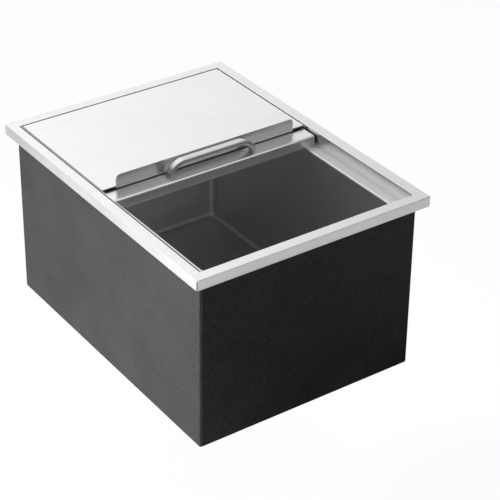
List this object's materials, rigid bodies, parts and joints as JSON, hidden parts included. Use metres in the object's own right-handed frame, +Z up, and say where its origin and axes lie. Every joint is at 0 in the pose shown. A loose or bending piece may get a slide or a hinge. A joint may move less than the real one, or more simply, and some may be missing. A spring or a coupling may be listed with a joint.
{
  "type": "drop-in ice bin",
  "caption": "Drop-in insulated ice bin: a rimmed steel tub in a black case, with a sliding cover, a fixed-place rear cover and an assembled drain and hose below.",
  "frame": {"origin": "middle of the plane on which the rim's return sits on a counter, at the middle of the cut-out", "axes": "+Z up, +Y from the bin's front to its back, +X to the right seen from the front"},
  "size_m": [0.457, 0.61, 0.5833],
  "materials": {
    "rim_steel": "satin",
    "tub_steel": "satin",
    "cover_steel": "satin",
    "handle_steel": "satin",
    "strainer_steel": "polished",
    "case_black": "matte",
    "foam": "matte",
    "drain_plastic": "satin",
    "pipe_plastic": "satin",
    "hose_plastic": "satin",
    "black_plastic": "satin",
    "white_plastic": "satin",
    "black_rubber": "matte"
  },
  "bodies": {
    "bin": {"rim_frame": "rim_steel", "tub": "tub_steel", "case_front": "case_black", "case_back": "case_black", "case_left": "case_black", "case_right": "case_black", "base_panel": "case_black", "foam_front": "foam", "foam_back": "foam", "foam_left": "foam", "foam_right": "foam", "foam_base": "foam", "rail_left": "tub_steel", "rail_right": "tub_steel", "strainer_flange": "strainer_steel", "flange_gasket": "black_rubber", "tub_washer": "white_plastic", "drain_body": "drain_plastic", "clamp_bolt": "handle_steel", "thumb_head": "black_plastic", "wing_nut": "black_plastic", "lock_ring": "handle_steel", "waste_pipe": "pipe_plastic", "coupling_nut": "pipe_plastic", "hose_nut": "pipe_plastic", "flat_washer": "black_rubber", "hose_neck": "pipe_plastic", "drain_hose": "hose_plastic", "hose_cuff": "pipe_plastic"},
    "rear_cover": {"rear_cover": "cover_steel"},
    "sliding_cover": {"sliding_cover": "cover_steel", "handle": "handle_steel", "handle_screws": "handle_steel"},
    "strainer_plate": {"strainer_plate": "strainer_steel"},
    "stopper": {"stopper": "strainer_steel", "stopper_seal": "black_rubber"}
  },
  "joints": [
    {"name": "cover_slide", "type": "slide", "parent": "bin", "child": "sliding_cover", "axis": [0, -1, 0], "range_m": [0, 0.2585]},
    {"name": "rear_cover_lift", "type": "slide", "parent": "bin", "child": "rear_cover", "axis": [0, 0, 1], "range_m": [0, 0.1]},
    {"name": "strainer_lift", "type": "slide", "parent": "bin", "child": "strainer_plate", "axis": [0, 0, 1], "range_m": [0, 0.06]},
    {"name": "stopper_lift", "type": "slide", "parent": "strainer_plate", "child": "stopper", "axis": [0, 0, 1], "range_m": [0, 0.06]}
  ]
}
